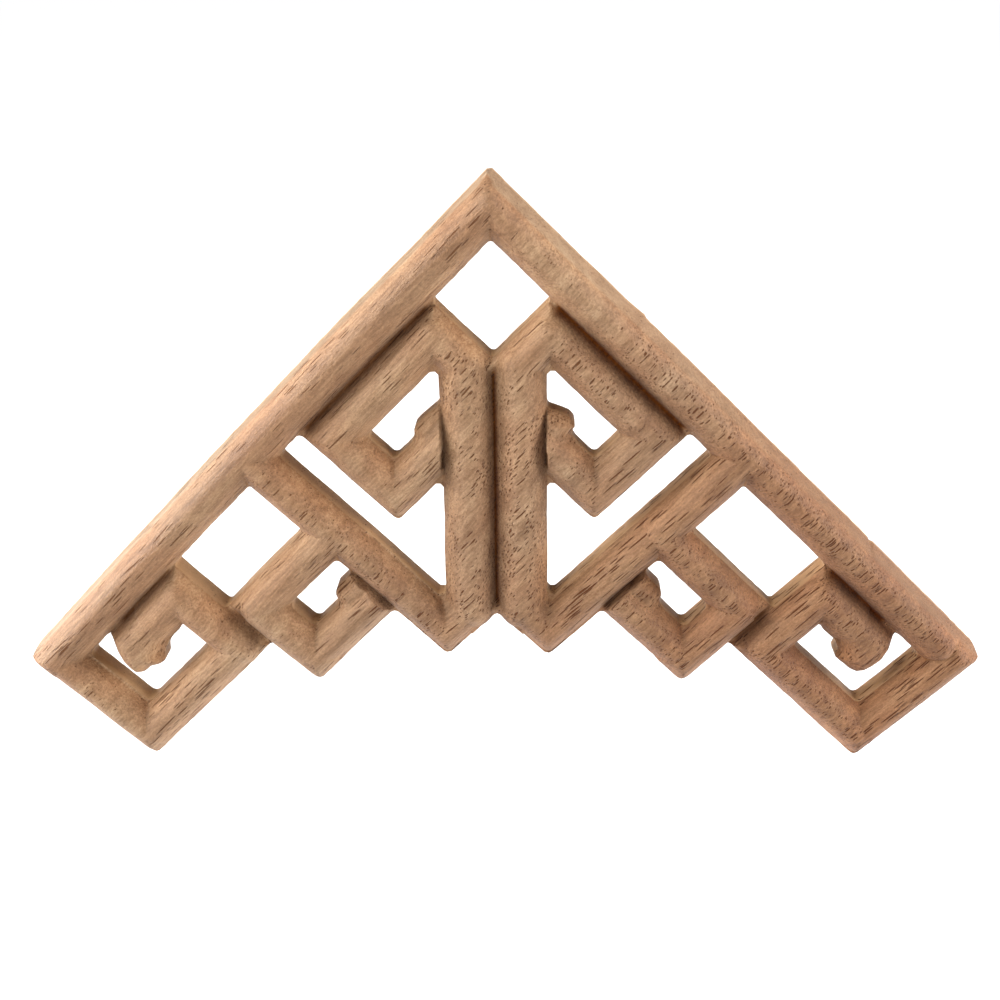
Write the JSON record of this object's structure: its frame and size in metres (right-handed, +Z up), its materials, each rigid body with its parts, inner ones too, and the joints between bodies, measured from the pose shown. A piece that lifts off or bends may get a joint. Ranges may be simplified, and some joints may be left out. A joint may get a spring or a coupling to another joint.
{
  "type": "carved wood corner applique",
  "caption": "Triangular corner ornament of bare wood, cut through in a stepped key-fret pattern of rounded bars, with a flat back that is fixed to a surface.",
  "frame": {"origin": "on the flat back, on the vertical centre line, halfway down the two upright bars and 44 mm below the apex", "axes": "+Z up to the apex, +Y out of the flat back, so the carved front faces -Y, and +X to the right seen from the front"},
  "size_m": [0.1412, 0.0066, 0.0879],
  "materials": {
    "raw_wood": "bare, fine sanded, with open pores and fuzzy cut edges"
  },
  "bodies": {
    "root": {"applique": "raw_wood"}
  },
  "joints": []
}
